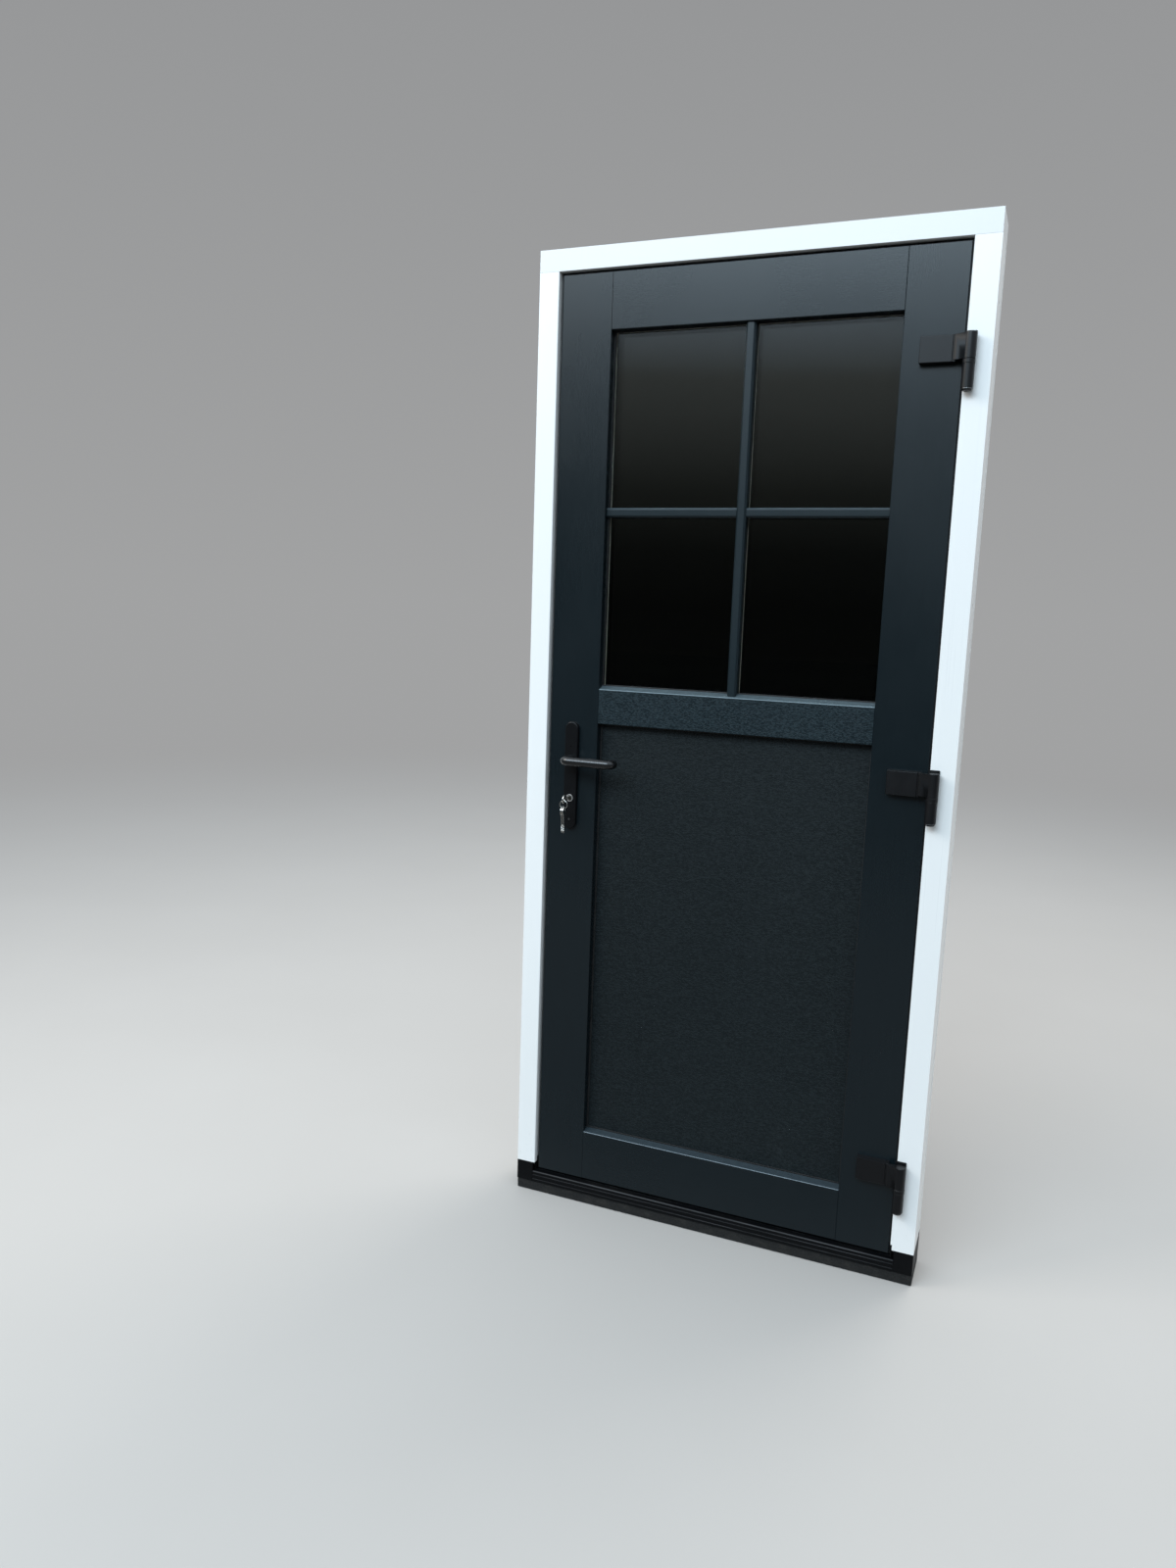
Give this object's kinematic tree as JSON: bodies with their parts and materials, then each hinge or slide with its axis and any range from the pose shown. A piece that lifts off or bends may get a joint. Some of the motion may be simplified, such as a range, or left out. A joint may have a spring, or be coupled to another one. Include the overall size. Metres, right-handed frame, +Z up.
{
  "type": "half-glazed exterior door with frame",
  "caption": "Exterior door set: outward-opening leaf with a barred glazed upper part and a solid lower panel, hinged in its own frame over a low threshold, with lever handles and keyed lock.",
  "frame": {"origin": "centre of the underside of the base strip, at mid frame width and mid frame depth", "axes": "+X from the lock side to the hinge side, to the right seen from outside; +Y from outside to inside; +Z up"},
  "size_m": [0.9624, 0.197, 2.217],
  "materials": {
    "white_upvc": "smooth white extruded plastic, semi-gloss",
    "anthracite_foil": "dark grey printed foil with an embossed wood grain",
    "black_threshold": "satin black plastic, ribbed",
    "base_plastic": "rough recycled black plastic",
    "galvanised_steel": "zinc coated",
    "spacer_aluminium": "matt silver",
    "glass": "clear float glass",
    "black_rubber": "matt",
    "black_metal": "satin black powder coat",
    "lock_steel": "zinc plated, brushed",
    "nickel": "satin nickel",
    "brass": "worn",
    "foam": "insulation foam, cut edges",
    "panel_foil": "dark grey foil, fine level embossed grain"
  },
  "bodies": {
    "frame": {"frame_jamb_left": "white_upvc", "frame_jamb_right": "white_upvc", "frame_head": "white_upvc", "frame_reinforcements": "galvanised_steel", "threshold": "black_threshold", "threshold_end_left": "black_threshold", "threshold_end_right": "black_threshold", "threshold_base": "base_plastic", "frame_gasket": "black_rubber", "strike_plate_centre": "lock_steel", "strike_plates_hook": "lock_steel", "frame_screws": "lock_steel", "hinge_top_frame_part": "black_metal", "hinge_middle_frame_part": "black_metal", "hinge_bottom_frame_part": "black_metal", "hinge_pins": "lock_steel", "hinge_bearing_rings": "black_metal"},
    "leaf": {"stile_lock_side": "anthracite_foil", "stile_hinge_side": "anthracite_foil", "rail_top": "anthracite_foil", "rail_middle": "anthracite_foil", "rail_bottom": "anthracite_foil", "leaf_reinforcements": "galvanised_steel", "panel_skin_outer": "panel_foil", "panel_core": "foam", "panel_skin_inner": "panel_foil", "glass_pane_outer": "glass", "glass_pane_inner": "glass", "glass_spacer_frame": "spacer_aluminium", "glass_spacer_cross": "spacer_aluminium", "glazing_bar_upright_outer": "anthracite_foil", "glazing_bars_level_outer": "anthracite_foil", "glazing_bars_inner": "anthracite_foil", "glazing_beads": "anthracite_foil", "glazing_gaskets": "black_rubber", "leaf_gasket": "black_rubber", "hinge_top_leaf_part": "black_metal", "hinge_middle_leaf_part": "black_metal", "hinge_bottom_leaf_part": "black_metal", "hinge_covers": "black_metal", "lock_case": "lock_steel", "lock_faceplate": "lock_steel", "hook_cases": "lock_steel", "leaf_screws": "lock_steel", "handle_plate_outer": "black_metal", "handle_plate_inner": "black_metal", "handle_bolts": "nickel", "cylinder_body": "nickel"},
    "lever_set": {"lever_outer": "black_metal", "lever_inner": "black_metal", "lever_spindle": "lock_steel"},
    "latch": {"latch_bolt": "nickel"},
    "key_set": {"cylinder_plug": "brass", "key": "nickel"},
    "key_bunch": {"key_ring": "nickel", "spare_keys": "nickel"},
    "deadbolt": {"deadbolt": "nickel"},
    "drive_rod": {"drive_rod": "lock_steel"},
    "hook_upper": {"hook_bolt_upper": "lock_steel"},
    "hook_lower": {"hook_bolt_lower": "lock_steel"}
  },
  "joints": [
    {"name": "door_swing", "type": "hinge", "parent": "frame", "child": "leaf", "pos_m": [0.44, -0.073, 1.0795], "axis": [0, 0, 1], "range_deg": [0, 105]},
    {"name": "lever_turn", "type": "hinge", "parent": "leaf", "child": "lever_set", "pos_m": [-0.37, -0.015, 1.0985], "axis": [0, 1, 0], "range_deg": [0, 40], "stiffness_Nm_per_rad": 2, "springref_deg": -28.65},
    {"name": "latch_slide", "type": "slide", "parent": "leaf", "child": "latch", "axis": [1, 0, 0], "range_m": [0, 0.0125]},
    {"name": "key_turn", "type": "hinge", "parent": "leaf", "child": "key_set", "pos_m": [-0.37, -0.015, 1.0065], "axis": [0, 1, 0], "range_deg": [0, 360]},
    {"name": "key_ring_swing", "type": "hinge", "parent": "key_set", "child": "key_bunch", "pos_m": [-0.37, -0.0925, 1.0044], "axis": [1, 0, 0], "range_deg": [-75, 10]},
    {"name": "deadbolt_slide", "type": "slide", "parent": "leaf", "child": "deadbolt", "axis": [-1, 0, 0], "range_m": [0, 0.0205]},
    {"name": "drive_rod_slide", "type": "slide", "parent": "leaf", "child": "drive_rod", "axis": [0, 0, 1], "range_m": [0, 0.018]},
    {"name": "hook_upper_turn", "type": "hinge", "parent": "leaf", "child": "hook_upper", "pos_m": [-0.412, -0.015, 1.7], "axis": [0, -1, 0], "range_deg": [0, 76]},
    {"name": "hook_lower_turn", "type": "hinge", "parent": "leaf", "child": "hook_lower", "pos_m": [-0.412, -0.015, 0.42], "axis": [0, -1, 0], "range_deg": [0, 76]}
  ],
  "couplings": [
    {"joint": "latch_slide", "follows": "lever_turn", "m_per_rad": 0.0172},
    {"joint": "key_turn", "follows": "drive_rod_slide", "rad_per_m": 349},
    {"joint": "deadbolt_slide", "follows": "drive_rod_slide", "ratio": 1.111},
    {"joint": "hook_upper_turn", "follows": "drive_rod_slide", "rad_per_m": 72.7},
    {"joint": "hook_lower_turn", "follows": "drive_rod_slide", "rad_per_m": 72.7}
  ]
}
